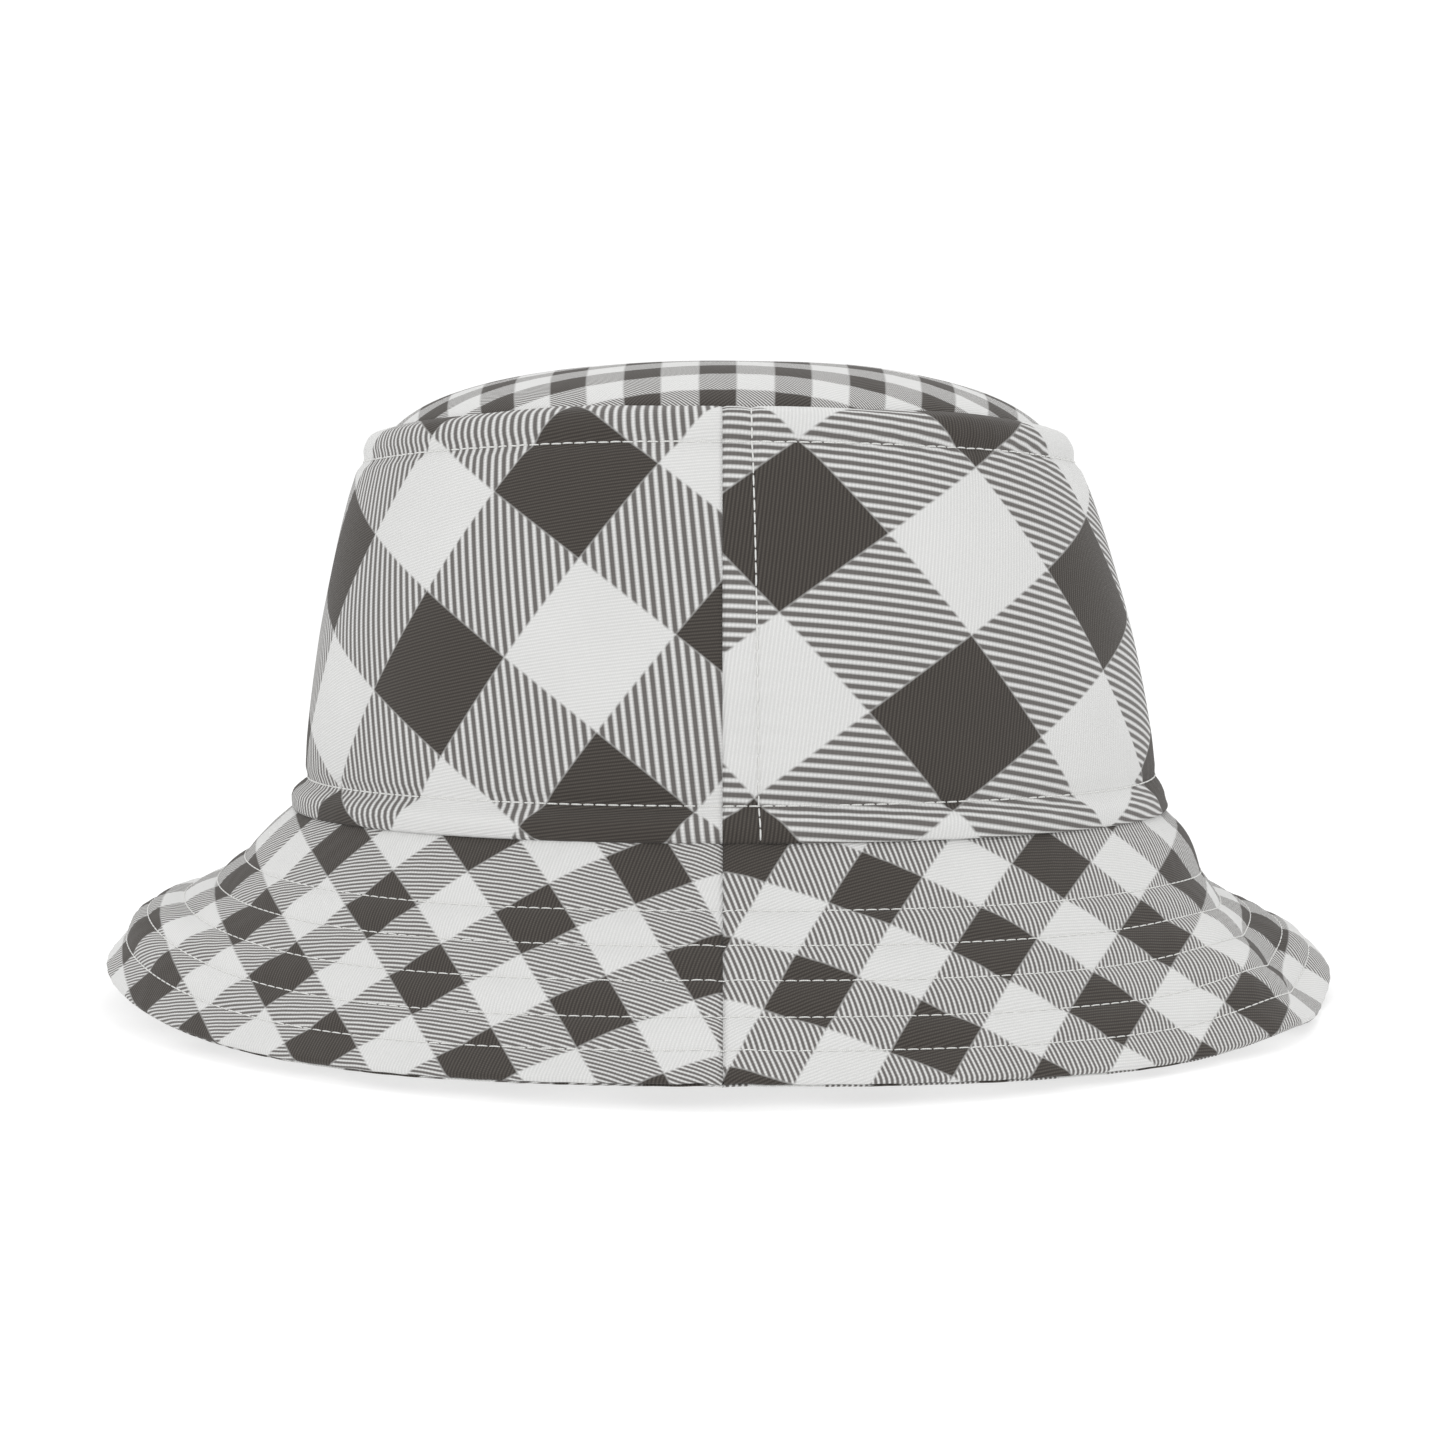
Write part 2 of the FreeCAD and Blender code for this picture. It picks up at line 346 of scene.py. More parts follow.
def brim_shape(phi, w, direction):
    """Top (direction 1) or under (direction -1) face of the brim without its rolled edge."""
    base = brim_base(phi, w)
    base = base + normals(base, UP) * brim_bends(phi, w)[..., None]
    n = normals(base, UP)
    relief = brim_relief(phi, w)
    if direction > 0:
        return base + n * relief[..., None]
    thickness = BRIM_THICKNESS + 0.25 * channels(w)[0]
    return base + n * (0.45 * relief - thickness)[..., None]


def brim_top(phi, w):
    return brim_shape(phi, w, 1)


# ---------------------------------------------------------------- building meshes

def panel_grid(span, step, radius, levels):
    """Angle round the hat and level on the cloth of each point of a panel's mesh."""
    count = int((span[1] - span[0]) * radius / step) + 1
    return np.meshgrid(np.linspace(span[0], span[1], count), levels)


def levels_on_rows(low, high, count, rows):
    """Even levels from low to high, with the nearest ones moved onto the stitch rows."""
    made = np.linspace(low, high, count)
    for row in rows:
        made[np.argmin(np.abs(made - row))] = row
    return made


def rolled(grid, outward, radius, sweep, tail=0.0, at_end=True):
    """Adds rows that turn a grid's last (or first) row inwards, as a folded cloth edge does."""
    work = grid if at_end else grid[::-1]
    n = normals(work, outward)[-1]
    along = unit(work[-1] - work[-3])
    centre = work[-1] - n * radius
    turns = np.radians(sweep) * np.arange(1, ROLL_ROWS + 1) / ROLL_ROWS
    rows = [centre + radius * (np.cos(a) * n + np.sin(a) * along) for a in turns]
    heading = -np.sin(turns[-1]) * n + np.cos(turns[-1]) * along
    if tail:
        rows += [rows[-1] + heading * tail * i / TAIL_ROWS for i in range(1, TAIL_ROWS + 1)]
    made = np.concatenate([work, np.array(rows)])
    return made if at_end else made[::-1]


def add_piece(name, verts, faces, material, uv=None):
    mesh = bpy.data.meshes.new(name)
    mesh.from_pydata((np.asarray(verts) * MM).tolist(), [], faces)
    if uv is not None:
        loops = np.empty(len(mesh.loops), dtype=np.int32)
        mesh.loops.foreach_get("vertex_index", loops)
        for label, values in uv.items():
            layer = mesh.uv_layers.new(name=label)
            layer.data.foreach_set("uv", values[loops].ravel())
    mesh.polygons.foreach_set("use_smooth", [True] * len(mesh.polygons))
    mesh.materials.append(material)
    mesh.update()
    obj = bpy.data.objects.new(name, mesh)
    bpy.context.scene.collection.objects.link(obj)
    return obj


def cloth_panel(name, grid, outward, thickness, material, flat, check=None):
    """Closed sheet of cloth: grid is its seen face, and the other face is a thickness behind it.

    flat is each point's place on the flat cloth, and check counts the printed checks up to it."""
    rows, cols = grid.shape[:2]
    n = normals(grid, outward)
    verts = np.concatenate([grid.reshape(-1, 3), (grid - n * thickness).reshape(-1, 3)])
    count = rows * cols
    index = np.arange(count).reshape(rows, cols)
    a, b = index[:-1, :-1].ravel(), index[1:, :-1].ravel()
    c, d = index[1:, 1:].ravel(), index[:-1, 1:].ravel()
    ring = np.concatenate([index[0, :-1], index[:-1, -1], index[-1, :0:-1], index[:0:-1, 0]])
    after = np.roll(ring, -1)
    quads = np.concatenate([np.stack([a, b, c, d], 1), np.stack([d, c, b, a], 1) + count,
                            np.stack([ring, after, after + count, ring + count], 1)])
    first = grid[:2, :2]
    turn = np.cross(first[1, 0] - first[0, 0], first[0, 1] - first[0, 0])
    if (turn * n[0, 0]).sum() < 0:
        quads = quads[:, ::-1]
    uv = {label: np.tile(np.stack([across.ravel(), along.ravel()], 1), (2, 1))
          for label, (across, along) in (("check", check or flat), ("cloth", flat))}
    return add_piece(name, verts, quads.tolist(), material, uv)


def stitches(name, line, up, radius=THREAD):
    """A row of separate thread stitches along a line of points, each dipping into the cloth."""
    length = line_length(line)
    count = int(round(length[-1] / STITCH_PITCH))
    pitch = length[-1] / count
    starts = np.arange(count) * pitch
    shares = np.array([0.0, 0.18, 0.5, 0.82, 1.0])
    heights = np.array([-0.1, 0.8, 1.1, 0.8, -0.1]) * radius
    girth = np.array([0.7, 1.0, 1.05, 1.0, 0.7]) * radius
    where = starts[:, None] + STITCH_GAP / 2 + shares[None] * (pitch - STITCH_GAP)
    axis = np.stack([np.interp(where, length, line[:, i]) for i in range(3)], -1)
    lift = unit(np.stack([np.interp(where, length, up[:, i]) for i in range(3)], -1))
    across = unit(np.cross(lift, unit(axis[:, -1:] - axis[:, :1])))
    axis = axis + lift * heights[None, :, None]
    sides = 6
    turn = 2 * np.pi * np.arange(sides) / sides
    ring = (across[:, :, None] * np.cos(turn)[None, None, :, None]
            + lift[:, :, None] * np.sin(turn)[None, None, :, None])
    verts = (axis[:, :, None] + ring * girth[None, :, None, None]).reshape(-1, 3)
    faces = []
    rings = len(shares)
    for s in range(count):
        base = s * rings * sides
        for r in range(rings - 1):
            low = base + r * sides
            for k in range(sides):
                m = (k + 1) % sides
                faces.append((low + k, low + m, low + sides + m, low + sides + k))
        faces.append(tuple(base + k for k in reversed(range(sides))))
        faces.append(tuple(base + (rings - 1) * sides + k for k in range(sides)))
    return add_piece(name, verts, faces, THREAD_WHITE)


# ---------------------------------------------------------------- the cloth laid flat, and its print

CROWN_SECTOR = 500.0       # radius of the brim seam on a crown panel laid flat
BRIM_SECTOR = 130.0        # radius of the brim seam on a brim panel laid flat
SEAM_ANGLES = np.linspace(-np.pi, 2 * np.pi, 1201)
SEAM_OVAL = SEAM_HALF * np.stack([np.cos(SEAM_ANGLES), WIDTH_RATIO * np.sin(SEAM_ANGLES)], -1)
SEAM_ARC = line_length(SEAM_OVAL)


def along_seam(phi, span):
    """Distance along the brim seam from the middle of a panel."""
    middle = (span[0] + span[1]) / 2
    return np.interp(phi, SEAM_ANGLES, SEAM_ARC) - np.interp(middle, SEAM_ANGLES, SEAM_ARC)


def flat_crown(phi, v, span):
    """A crown panel laid flat: across from its middle, and up from the brim seam."""
    turn = along_seam(phi, span) / CROWN_SECTOR
    return (CROWN_SECTOR - v) * np.sin(turn), CROWN_SECTOR - (CROWN_SECTOR - v) * np.cos(turn)


def flat_brim(phi, w, span):
    """A brim panel laid flat: across from its middle, and out from the brim seam."""
    turn = along_seam(phi, span) / BRIM_SECTOR
    return (BRIM_SECTOR + w) * np.sin(turn), (BRIM_SECTOR + w) * np.cos(turn) - BRIM_SECTOR


# How the printed cloth lies on each panel when the panel is flat. For both edges of a check: its
# length in millimetres, and its direction in degrees from the line of the brim seam. Last come
# the check counts at the middle of that seam. The cloth is cut off the straight grain, so that
# it pulls a little and the checks lean.
PRINTS = {
    "crown_front": ((25.5, -22), (24.5, 66), (-1.55, -4.1)),
    "crown_back": ((26, -63), (28.5, -160), (4.85, -1.85)),
    "brim_front": ((13, -2), (12.3, 96), (-8.05, 3.05)),
    "brim_back": ((12.9, 80), (14.4, 2), (3.7, 7.8)),
}
UNDER_SHIFT = 0.6          # the print on the brim's underside is shifted by this share of a check
CROWN_CHECK = 26.0         # width of one check on each part of the hat
BRIM_CHECK = 13.0
TIP_CHECK = 7.9
TIP_CHECK_START = (-4.0, -70.0)    # a corner of the tip's checks


def check_counts(panel, u, w, shift=0.0):
    """How many checks lie between the start of a panel's print and a place on the flat panel."""
    first, second, start = PRINTS[panel]
    edges = [size * np.exp(1j * math.radians(direction)) for size, direction in (first, second)]
    across = (edges[0].conjugate() * edges[1]).imag
    place = u + 1j * w
    along_first = (place.conjugate() * edges[1]).imag / across
    along_second = (edges[0].conjugate() * place).imag / across
    return start[0] + along_first + shift, start[1] + along_second + shift


# ---------------------------------------------------------------- materials

class Surface:
    """A material and short ways to add nodes to it."""

    def __init__(self, name, roughness, sheen=0.0):
        self.material = bpy.data.materials.new(name)
        self.material.use_nodes = True
        self.tree = self.material.node_tree
        self.shader = self.tree.nodes["Principled BSDF"]
        self.shader.inputs["Roughness"].default_value = roughness
        self.shader.inputs["Sheen Weight"].default_value = sheen
        self.shader.inputs["Sheen Roughness"].default_value = 0.5
        self.shader.inputs["Specular IOR Level"].default_value = 0.25

    def node(self, kind, **inputs):
        made = self.tree.nodes.new(kind)
        for key, value in inputs.items():
            self.feed(made.inputs[key], value)
        return made

    def feed(self, socket, value):
        if isinstance(value, bpy.types.NodeSocket):
            self.tree.links.new(value, socket)
        else:
            socket.default_value = value

    def math(self, operation, *values, clamp=False):
        made = self.tree.nodes.new("ShaderNodeMath")
        made.operation = operation
        made.use_clamp = clamp
        for socket, value in zip(made.inputs, values):
            self.feed(socket, value)
        return made.outputs[0]

    def uv(self, label):
        made = self.tree.nodes.new("ShaderNodeUVMap")
        made.uv_map = label
        return made.outputs["UV"]

    def axes(self, where):
        split = self.node("ShaderNodeSeparateXYZ", Vector=where)
        return split.outputs["X"], split.outputs["Y"]

    def object_place(self):
        return self.tree.nodes.new("ShaderNodeTexCoord").outputs["Object"]

    def wave(self, along, period, contrast=0.5, middle=0.5):
        """A smooth stripe from 0 to 1 across a coordinate, or a crisp one at high contrast."""
        turns = self.math("MULTIPLY", along, 2 * math.pi / period)
        swing = self.math("SINE", turns)
        return self.math("MULTIPLY_ADD", swing, contrast, middle, clamp=True)

    def noise(self, where, scale, detail):
        made = self.node("ShaderNodeTexNoise", Vector=where, Scale=scale, Detail=detail)
        return made.outputs["Fac"]

    def mix(self, share, first, second):
        """Mixes two colours, which are the seventh and eighth inputs of the node."""
        made = self.tree.nodes.new("ShaderNodeMix")
        made.data_type = "RGBA"
        for index, value in ((0, share), (6, first), (7, second)):
            self.feed(made.inputs[index], value)
        return made.outputs[2]

    def shade(self, color, amount, by):
        """Darkens a colour by up to an amount where by is 0, and not at all where it is 1."""
        level = self.math("MULTIPLY_ADD", by, amount, 1 - amount)
        made = self.tree.nodes.new("ShaderNodeVectorMath")
        made.operation = "SCALE"
        self.feed(made.inputs[0], color[:3] if isinstance(color, tuple) else color)
        self.feed(made.inputs["Scale"], level)
        return made.outputs[0]

    def finish(self, color, height, depth_mm, strength):
        self.feed(self.shader.inputs["Base Color"], color)
        bump = self.node("ShaderNodeBump", Height=height, Strength=strength)
        bump.inputs["Distance"].default_value = depth_mm * MM
        self.tree.links.new(bump.outputs["Normal"], self.shader.inputs["Normal"])
        return self.material


WHITE = (0.80, 0.80, 0.79, 1)
STRIPE = (0.160, 0.150, 0.143, 1)
DARK = (0.038, 0.033, 0.029, 1)
DARK_RIB = (0.094, 0.083, 0.073, 1)
STRIPES_PER_CHECK = 9.6
STRIPE_CONTRAST = 0.72
STRIPE_FILL = 0.66         # above a half, the stripes are wider than the white between them
PRINT_EDGE = 0.55          # softness of the print's edge
RIB = 0.72                 # spacing of the cloth's diagonal ribs
PICK = 0.5                 # spacing of the threads across them


def printed_check(name, check):
    """White cotton printed with a gingham check whose mixed squares are diagonal stripes."""
    s = Surface(name, roughness=0.88, sheen=0.12)
    i, j = s.axes(s.uv("check"))
    crisp = check / (math.pi * PRINT_EDGE)
    first = s.wave(i, 2.0, crisp)
    second = s.wave(j, 2.0, crisp)
    both = s.math("MULTIPLY", first, second)
    mixed = s.math("ABSOLUTE", s.math("SUBTRACT", first, second))
    across = s.math("ADD", i, j)
    stripes = s.wave(across, 1 / STRIPES_PER_CHECK, STRIPE_CONTRAST, STRIPE_FILL)
    along = s.math("SUBTRACT", i, j)
    diagonal = check / math.sqrt(2)
    rib = s.wave(along, RIB / diagonal)
    pick = s.wave(s.math("MULTIPLY_ADD", along, 0.5, across), PICK / diagonal)
    weave = s.math("MULTIPLY", rib, s.math("MULTIPLY_ADD", pick, 0.45, 0.55))
    cloth = s.uv("cloth")
    blotch = s.noise(cloth, scale=0.05, detail=2.0)
    fuzz = s.noise(cloth, scale=2.2, detail=3.0)
    color = s.mix(s.math("MULTIPLY", mixed, stripes), WHITE, STRIPE)
    color = s.shade(color, amount=0.18, by=weave)
    color = s.mix(both, color, s.mix(weave, DARK, DARK_RIB))
    color = s.shade(color, amount=0.08, by=blotch)
    height = s.math("MULTIPLY_ADD", fuzz, 0.5, weave)
    return s.finish(color, height, depth_mm=0.14, strength=0.7)


def plain_cloth(name, base, thread_mm, depth_mm, roughness=0.9, sheen=0.1, ribbed=False):
    """Plain woven cloth, or a ribbon with ribs across it."""
    s = Surface(name, roughness, sheen)
    cloth = s.uv("cloth")
    u, w = s.axes(cloth)
    warp = s.wave(u, thread_mm)
    if ribbed:
        weft = s.wave(w, thread_mm * 6)
        weave = s.math("MULTIPLY_ADD", warp, 0.9, s.math("MULTIPLY", weft, 0.1))
    else:
        weft = s.wave(w, thread_mm)
        weave = s.math("ABSOLUTE", s.math("SUBTRACT", warp, weft))
    blotch = s.noise(cloth, scale=0.06, detail=2.0)
    fuzz = s.noise(cloth, scale=1.8, detail=3.0)
    color = s.shade(s.shade(base, amount=0.18, by=weave), amount=0.12, by=blotch)
    return s.finish(color, s.math("MULTIPLY_ADD", fuzz, 0.4, weave), depth_mm, strength=0.6)


def felted(name, base):
    s = Surface(name, roughness=0.95)
    fibre = s.noise(s.uv("cloth"), scale=1.1, detail=6.0)
    return s.finish(s.shade(base, amount=0.2, by=fibre), fibre, depth_mm=0.15, strength=0.7)


def sewing_thread(name, base):
    s = Surface(name, roughness=0.6, sheen=0.2)
    wave = s.node("ShaderNodeTexWave", Vector=s.object_place(), Scale=900.0, Distortion=2.0)
    twist = wave.outputs["Fac"]
    return s.finish(s.shade(base, amount=0.2, by=twist), twist, depth_mm=0.05, strength=0.6)


CROWN_CLOTH = printed_check("check_cloth_crown", CROWN_CHECK)
BRIM_CLOTH = printed_check("check_cloth_brim", BRIM_CHECK)
TIP_CLOTH = printed_check("check_cloth_tip", TIP_CHECK)
LINING = plain_cloth("lining_cloth", (0.74, 0.73, 0.69, 1), thread_mm=0.45, depth_mm=0.06)
RIBBON = plain_cloth("sweatband_ribbon", (0.022, 0.021, 0.021, 1), thread_mm=0.9, depth_mm=0.16,
                     roughness=0.62, sheen=0.3, ribbed=True)
LABEL = plain_cloth("label_tape", (0.80, 0.79, 0.76, 1), thread_mm=0.3, depth_mm=0.04,
                    roughness=0.55, sheen=0.2)
STIFFENER = felted("brim_interlining", (0.75, 0.74, 0.71, 1))
THREAD_WHITE = sewing_thread("white_thread", (0.82, 0.82, 0.80, 1))


# ---------------------------------------------------------------- printed cloth and stiffener

def settle(piece, node):
    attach(piece, "root")
    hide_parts(node)


def extended(v, count, step):
    """Levels of the rows that a fold adds beyond the last (or, for a negative step, first) one."""
    steps = np.arange(1, count + 1)[:, None] * step
    return v[-1:] + steps if step > 0 else v[:1] + steps[::-1]


def crown_panel(name, span):
    levels = levels_on_rows(0, CROWN_LENGTH, CROWN_MESH_ROWS, [BASE_ROW, TIP_ROW])
    phi, v = panel_grid(span, PANEL_STEP, CROWN_MESH_RADIUS, levels)
    grid = crown_surface(phi, v)
    out = out_from_axis(grid)
    grid = rolled(grid, out[-1], radius=0.8, sweep=150, tail=2.5)
    grid = rolled(grid, out[0], radius=0.6, sweep=170, tail=1.2, at_end=False)
    fold_rows = ROLL_ROWS + TAIL_ROWS
    v = np.concatenate([extended(v, fold_rows, -0.6), v, extended(v, fold_rows, 0.5)])
    flat = flat_crown(np.tile(phi[0], (len(v), 1)), v, span)
    piece = cloth_panel(name + "_panel_cloth", grid, out_from_axis(grid), PRINTED_THICKNESS,
                        CROWN_CLOTH, flat, check_counts(name, *flat))
    settle(piece, name + "_panel")


def brim_panel(side, face, span):
    direction = 1 if face == "top" else -1
    levels = levels_on_rows(-BRIM_TUCK, BRIM_WIDTH - EDGE_ROLL, BRIM_MESH_ROWS, BRIM_ROWS)
    phi, w = panel_grid(span, PANEL_STEP, BRIM_MESH_RADIUS, levels)
    grid = rolled(brim_shape(phi, w, direction), UP * direction, radius=EDGE_ROLL, sweep=90)
    w = np.concatenate([w, extended(w, ROLL_ROWS, 0.24)])
    flat = flat_brim(np.tile(phi[0], (len(w), 1)), w, span)
    shift = 0 if face == "top" else UNDER_SHIFT
    piece = cloth_panel("brim_%s_%s_cloth" % (side, face), grid, UP * direction, PRINTED_THICKNESS,
                        BRIM_CLOTH, flat, check_counts("brim_" + side, *flat, shift))
    settle(piece, "brim_%s_%s" % (face, side))


def stiffener(side, span):
    levels = np.linspace(0, BRIM_WIDTH - 1.0, STIFFENER_MESH_ROWS)
    phi, w = panel_grid(span, STIFFENER_STEP, BRIM_MESH_RADIUS, levels)
    top = brim_top(phi, w)
    under = brim_shape(phi, w, -1)
    grid = 0.5 * (top + under) + normals(top, UP) * STIFFENER_THICKNESS / 2
    flat = flat_brim(phi, w, span)
    piece = cloth_panel("brim_stiffener_" + side, grid, UP, STIFFENER_THICKNESS, STIFFENER, flat)
    settle(piece, "brim_interlining_" + side)


def disc_grid(count):
    """Evenly spread square grid mapped onto a disc: share of the radius, and angle."""
    a, b = np.meshgrid(np.linspace(-1, 1, count), np.linspace(-1, 1, count))
    wide = np.abs(a) > np.abs(b)
    safe_a, safe_b = np.where(wide, a, 1), np.where(~wide & (b != 0), b, 1)
    turn = np.where(wide, np.pi / 4 * b / safe_a, np.pi / 2 - np.pi / 4 * a / safe_b)
    share = np.where(wide, a, b)
    return np.abs(share), turn + np.pi * (share < 0)


def tip_surface(share, phi, drop, inset, wobble):
    """The puffed top: share of the way out from its middle, and angle round it."""
    rise = (TIP_RISE + TIP_TUCK) * (1 - np.minimum(share, 1) ** 3.4) ** 0.75
    r = share * (RIM_HALF - inset)
    z = RIM_Z + RIM_SIDE_LIFT * np.sin(phi) ** 2 * share ** 2 - TIP_TUCK - drop + rise
    grid = np.stack([RIM_X + r * np.cos(phi), WIDTH_RATIO * r * np.sin(phi), z], -1)
    from_rim = (1 - share) * 75
    puckers = 0.22 * fade(from_rim, 7.0) * ripple(phi, TIP_PUCKERS, 2.2)
    unevenness = wobble * soft(grid[..., 0] / 85, grid[..., 1], 0.9)
    grid[..., 2] += (puckers + unevenness) * (1 - share ** 8)
    return grid


def tip_flat(share, phi, inset):
    """The tip laid flat: the distance out from its middle follows its slope."""
    steps = np.linspace(0, 1, 400)
    length = line_length(tip_surface(steps, 0 * steps, 0.0, inset, 0.0))
    reach = np.interp(share, steps, length)
    return reach * np.cos(phi), WIDTH_RATIO * reach * np.sin(phi)


def crown_tip():
    share, phi = disc_grid(TIP_MESH_ROWS)
    flat = tip_flat(share, phi, TIP_INSET)
    check = [(place - start) / TIP_CHECK for place, start in zip(flat, TIP_CHECK_START)]
    grid = tip_surface(share, phi, 0.0, TIP_INSET, 0.45)
    piece = cloth_panel("crown_tip_cloth", grid, UP, PRINTED_THICKNESS, TIP_CLOTH, flat, check)
    settle(piece, "crown_tip")


# ---------------------------------------------------------------- lining, sweatband and label

def lining_tip():
    share, phi = disc_grid(LINING_TIP_MESH_ROWS)
    flat = tip_flat(share, phi, LINING_TIP_INSET)
    grid = tip_surface(share, phi, LINING_TIP_DROP, LINING_TIP_INSET, 0.5)
    piece = cloth_panel("lining_tip_cloth", grid, -UP, LINING_THICKNESS, LINING, flat)
    settle(piece, "lining_tip")


def inner_cloth(name, node, material, thickness, span, low, high, inner_face,
                straight=False):
    """Cloth inside the crown: a lining panel, or a straight band or tape."""
    levels = np.linspace(low, high, max(12, int((high - low) / 1.5)))
    phi, v = panel_grid(span, INNER_STEP, INNER_MESH_RADIUS, levels)
    grid = inner_face(phi, v)
    flat = (along_seam(phi, span), v) if straight else flat_crown(phi, v, span)
    piece = cloth_panel(name, grid, -out_from_axis(grid), thickness, material, flat)
    settle(piece, node)


def inside_crown(phi, v, depth):
    base = crown_base(phi, v)
    return base - normals(base, out_from_axis(base)) * depth[..., None]


def lining_face(phi, v):
    puff = np.sin(np.pi * np.clip((v - LINING_PUFF_START) / (CROWN_LENGTH - LINING_PUFF_START), 0, 1))
    side_seam = 0.5 * bell(from_side_seam(phi, 86.0), 3.0)
    folds = 0.6 + 0.6 * soft(phi, v * 0.6, 3.1)
    return inside_crown(phi, v, LINING_DEPTH + side_seam + puff * folds)


def band_face(phi, v):
    lean = 0.35 * (v / BAND_TOP) * (0.5 + 0.5 * soft(phi, v, 5.0))
    return inside_crown(phi, v, BAND_DEPTH + 0.25 + lean)


def label_face(phi, v):
    bulge = 1.4 * np.sin(np.pi * np.clip((v - LABEL_START) / LABEL_BULGE, 0, 1))
    return inside_crown(phi, v, BAND_DEPTH + 1.2 + bulge)


def inner_pieces():
    lining_tip()
    for side, span in HALVES:
        inner_cloth("lining_%s_cloth" % side, "lining_%s_panel" % side, LINING,
                    LINING_THICKNESS, span, LINING_START, CROWN_LENGTH - 2.0, lining_face)
    inner_cloth("sweatband_ribbon_band", "sweatband", RIBBON, BAND_THICKNESS,
                ALL_ROUND, BAND_START, BAND_TOP, band_face,
                straight=True)
    inner_cloth("care_label_tape", "care_label", LABEL, LINING_THICKNESS,
                (-LABEL_HALF_TURN, LABEL_HALF_TURN), LABEL_START, LABEL_TOP, label_face,
                straight=True)


# ---------------------------------------------------------------- stitching

def stitched_row(name, node, shape, level, ring_radius, outward, radius=THREAD):
    """Stitches all round the hat at one level of a surface."""
    phi = np.linspace(*ALL_ROUND, int(2 * math.pi * ring_radius))
    grid = shape(*np.meshgrid(phi, level + ROW_SIDES))
    n = normals(grid, outward(grid))
    settle(stitches(name, grid[1], n[1], radius), node)


def side_row(name, node, seam, sign):
    """Stitches up the crown beside a side seam."""
    columns = seam + (sign * SIDE_STITCH_OFFSET + ROW_SIDES) / SIDE_RADIUS
    grid = crown_surface(*np.meshgrid(columns, np.linspace(-0.3, CROWN_LENGTH - 1.0, 180)))
    n = normals(grid, out_from_axis(grid))
    settle(stitches(name, grid[:, 1], n[:, 1]), node)


def threads():
    stitched_row("thread_crown_base", "crown_base_topstitch", crown_surface, BASE_ROW, 96,
                 out_from_axis)
    stitched_row("thread_tip", "tip_topstitch", crown_surface, TIP_ROW, 96, out_from_axis)
    for number, level in enumerate(BRIM_ROWS, start=1):
        stitched_row("thread_brim_row_%d" % number, "brim_stitch_row_%d" % number, brim_top, level,
                     120, lambda grid: UP, radius=0.8 * THREAD)
    side_row("thread_side_right", "side_topstitch_right", -math.pi / 2, 1)
    side_row("thread_side_left", "side_topstitch_left", math.pi / 2, -1)
    stitched_row("thread_sweatband", "sweatband_stitch", band_face, BAND_ROW, 96,
                 lambda grid: -out_from_axis(grid))


# ---------------------------------------------------------------- floor, light and camera

# Name, place, size and power of each lamp
LAMPS = (
    ("key", (-0.9, -1.3, 1.2), 1.6, 7.0),
    ("fill", (1.2, -0.9, 0.7), 1.4, 1.9),
    ("top", (0.1, 0.5, 1.5), 1.2, 5.2),
)
LIT_POINT = np.array([0, 0, 0.06])
FLOOR_HALF = 4
FLOOR_Z = -0.0003
FLOOR_COLOR = (0.42, 0.42, 0.42, 1)
FLOOR_GLOW = 0.66
SKY_LIGHT = 0.85
SKY_SEEN = 1.05
CAMERA_PLACE = (0.0007, -0.560, 0.101)
CAMERA_PITCH = 4.07        # degrees below level
CAMERA_LENS = 60.8
CAMERA_SENSOR = 36.0


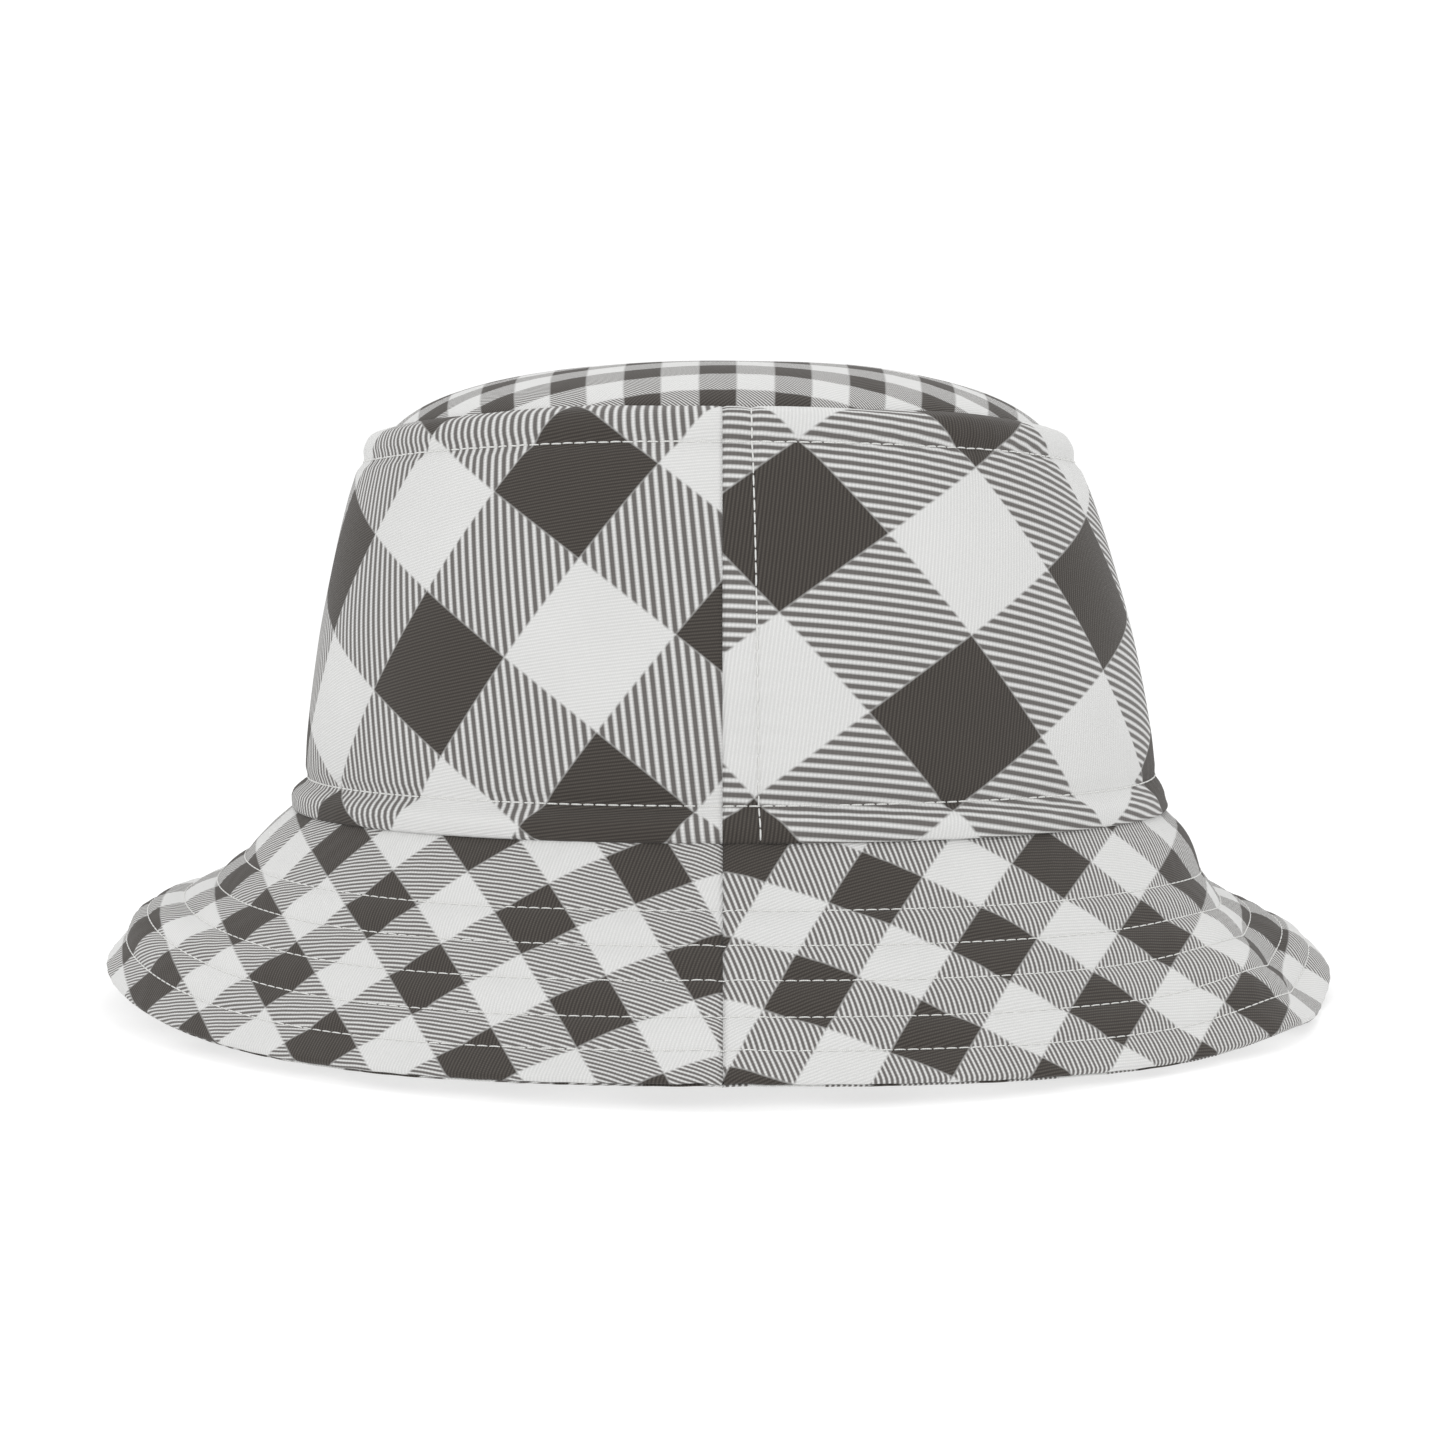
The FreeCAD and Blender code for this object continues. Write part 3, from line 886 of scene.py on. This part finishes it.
def floor():
    mesh = bpy.data.meshes.new("floor")
    corners = [(FLOOR_HALF * x, FLOOR_HALF * y, 0) for x, y in ((-1, -1), (1, -1), (1, 1), (-1, 1))]
    mesh.from_pydata(corners, [], [(0, 1, 2, 3)])
    plane = bpy.data.objects.new("floor", mesh)
    plane.location.z = FLOOR_Z
    bpy.context.scene.collection.objects.link(plane)
    s = Surface("pale_floor", roughness=0.9)
    grain = s.noise(s.object_place(), scale=3.0, detail=2.0)
    s.shader.inputs["Emission Color"].default_value = (1, 1, 1, 1)
    s.shader.inputs["Emission Strength"].default_value = FLOOR_GLOW
    color = s.shade(FLOOR_COLOR, amount=0.02, by=grain)
    mesh.materials.append(s.finish(color, grain, depth_mm=0.0, strength=0.0))


def sky():
    """White surroundings, a little brighter where they are seen than in the light they give."""
    world = bpy.data.worlds.new("studio")
    world.use_nodes = True
    tree = world.node_tree
    background = tree.nodes["Background"]
    background.inputs["Color"].default_value = (1, 1, 1, 1)
    seen = tree.nodes.new("ShaderNodeLightPath").outputs["Is Camera Ray"]
    level = tree.nodes.new("ShaderNodeMapRange")
    level.inputs["To Min"].default_value = SKY_LIGHT
    level.inputs["To Max"].default_value = SKY_SEEN
    tree.links.new(seen, level.inputs["Value"])
    tree.links.new(level.outputs["Result"], background.inputs["Strength"])
    bpy.context.scene.world = world
    bpy.context.scene.view_settings.view_transform = "Standard"


def lamps():
    for name, place, size, power in LAMPS:
        light = bpy.data.lights.new(name, "AREA")
        light.size = size
        light.energy = power
        lamp = bpy.data.objects.new(name, light)
        lamp.location = place
        aim = LIT_POINT - np.array(place)
        lamp.rotation_euler = (math.acos(-aim[2] / np.linalg.norm(aim)), 0,
                               math.atan2(aim[1], aim[0]) - math.pi / 2)
        bpy.context.scene.collection.objects.link(lamp)


def camera():
    lens = bpy.data.cameras.new("camera")
    lens.sensor_width = CAMERA_SENSOR
    lens.lens = CAMERA_LENS
    lens.clip_start = 0.01
    viewer = bpy.data.objects.new("camera", lens)
    viewer.location = CAMERA_PLACE
    viewer.rotation_euler = (math.radians(90 - CAMERA_PITCH), 0, 0)
    bpy.context.scene.collection.objects.link(viewer)
    bpy.context.scene.camera = viewer


crown_tip()
crown_panel("crown_front", FRONT)
crown_panel("crown_back", BACK)
for half, half_span in HALVES:
    brim_panel(half, "top", half_span)
    brim_panel(half, "under", half_span)
    stiffener(half, half_span)
inner_pieces()
threads()
floor()
sky()
lamps()
camera()
